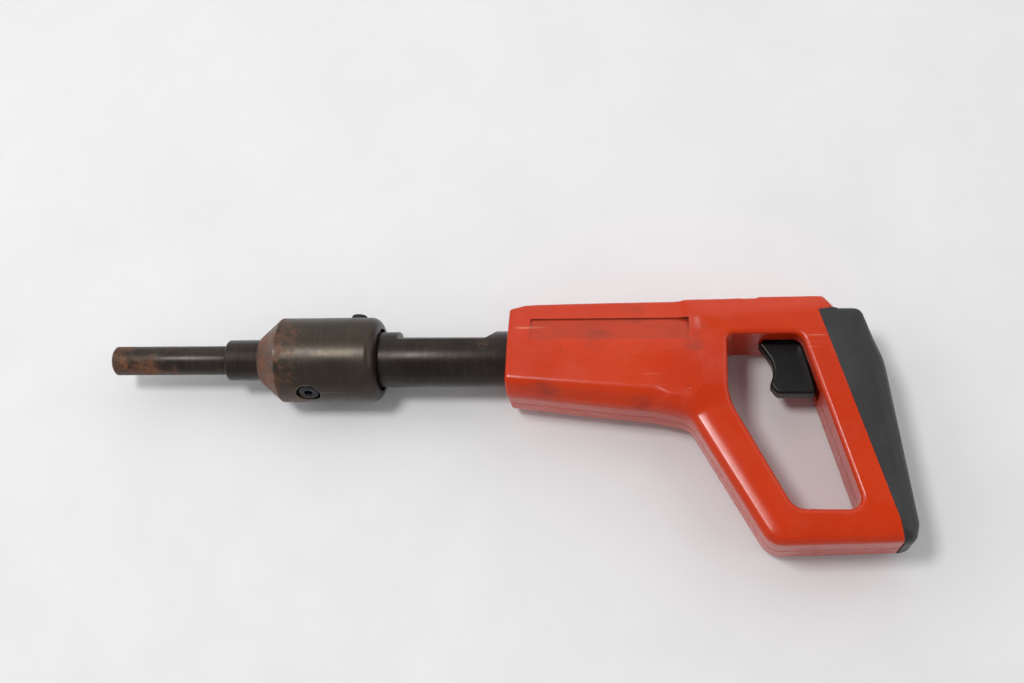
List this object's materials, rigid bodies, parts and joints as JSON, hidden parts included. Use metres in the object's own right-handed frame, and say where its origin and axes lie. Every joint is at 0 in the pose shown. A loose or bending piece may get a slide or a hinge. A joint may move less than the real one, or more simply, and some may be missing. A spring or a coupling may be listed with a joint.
{
  "type": "powder-actuated nail gun",
  "caption": "Low-velocity powder-actuated nail gun: moulded D-handle housing with a trigger, and a sliding steel barrel with a muzzle collar and fastener guide.",
  "frame": {"origin": "middle of the bounding box, on the surface that the tool lies on: it lies on the right side of its muzzle collar and of its handle", "axes": "+X along the barrel from the muzzle towards the grip, +Y to the tool's top (the trigger and the hand opening are on the -Y side), +Z out of the tool's left side"},
  "size_m": [0.3632, 0.111, 0.039],
  "materials": {
    "orange_shell": "moulded, glossy orange-red",
    "rubber_pad": "moulded, matte dark grey",
    "trigger_plastic": "moulded, satin black",
    "blued_steel": "turned, dark patina with bright worn edges",
    "rusted_steel": "turned, brown rust over dark steel",
    "bright_steel": "ground, oiled",
    "spring_steel": "drawn wire",
    "screw_black": "black oxide",
    "buffer_urethane": "cast, amber urethane",
    "bumper_rubber": "moulded, black"
  },
  "bodies": {
    "housing": {"housing_left": "orange_shell", "housing_right": "orange_shell", "housing_screws": "screw_black", "back_pad": "rubber_pad", "receiver_sleeve": "blued_steel", "barrel_catch": "spring_steel", "catch_rivets": "bright_steel", "breech_block": "bright_steel", "breech_pin": "bright_steel", "lock_plate": "bright_steel", "firing_pin_spring": "spring_steel", "spring_retainer": "bright_steel", "sear_spring": "spring_steel", "trigger_pin": "bright_steel", "trigger_spring": "spring_steel"},
    "barrel": {"barrel_tube": "blued_steel", "chamber": "bright_steel", "muzzle_collar": "blued_steel", "collar_lock_screw": "screw_black", "collar_stop_screw": "screw_black", "barrel_bumper": "bumper_rubber", "buffer": "buffer_urethane", "guide_bushing": "rusted_steel", "fastener_guide": "rusted_steel"},
    "piston": {"piston": "bright_steel", "piston_rings": "spring_steel"},
    "extractor": {"extractor": "bright_steel"},
    "firing_pin": {"firing_pin": "bright_steel"},
    "trigger": {"trigger": "trigger_plastic"},
    "trigger_link": {"trigger_link": "bright_steel"},
    "sear": {"sear": "bright_steel"}
  },
  "joints": [
    {"name": "barrel_slide", "type": "slide", "parent": "housing", "child": "barrel", "axis": [1, 0, 0], "range_m": [0, 0.038]},
    {"name": "piston_slide", "type": "slide", "parent": "barrel", "child": "piston", "axis": [-1, 0, 0], "range_m": [0, 0.072]},
    {"name": "extractor_slide", "type": "slide", "parent": "barrel", "child": "extractor", "axis": [1, 0, 0], "range_m": [0, 0.006]},
    {"name": "firing_pin_slide", "type": "slide", "parent": "housing", "child": "firing_pin", "axis": [1, 0, 0], "range_m": [0, 0.006], "stiffness_N_per_m": 400, "deforming": ["firing_pin_spring"]},
    {"name": "trigger_pivot", "type": "hinge", "parent": "housing", "child": "trigger", "pos_m": [0.1296, 0.0418, 0.0195], "axis": [0, 0, 1], "range_deg": [0, 13.2], "stiffness_Nm_per_rad": 0.5, "deforming": ["trigger_spring"]},
    {"name": "link_slide", "type": "slide", "parent": "housing", "child": "trigger_link", "axis": [-1, 0, 0], "range_m": [0, 0.00104]},
    {"name": "sear_slide", "type": "slide", "parent": "housing", "child": "sear", "axis": [0, 1, 0], "range_m": [0, 0.0012], "deforming": ["sear_spring"]}
  ],
  "couplings": [
    {"joint": "trigger_pivot", "follows": "link_slide", "rad_per_m": 200},
    {"joint": "sear_slide", "follows": "link_slide", "ratio": 1}
  ]
}
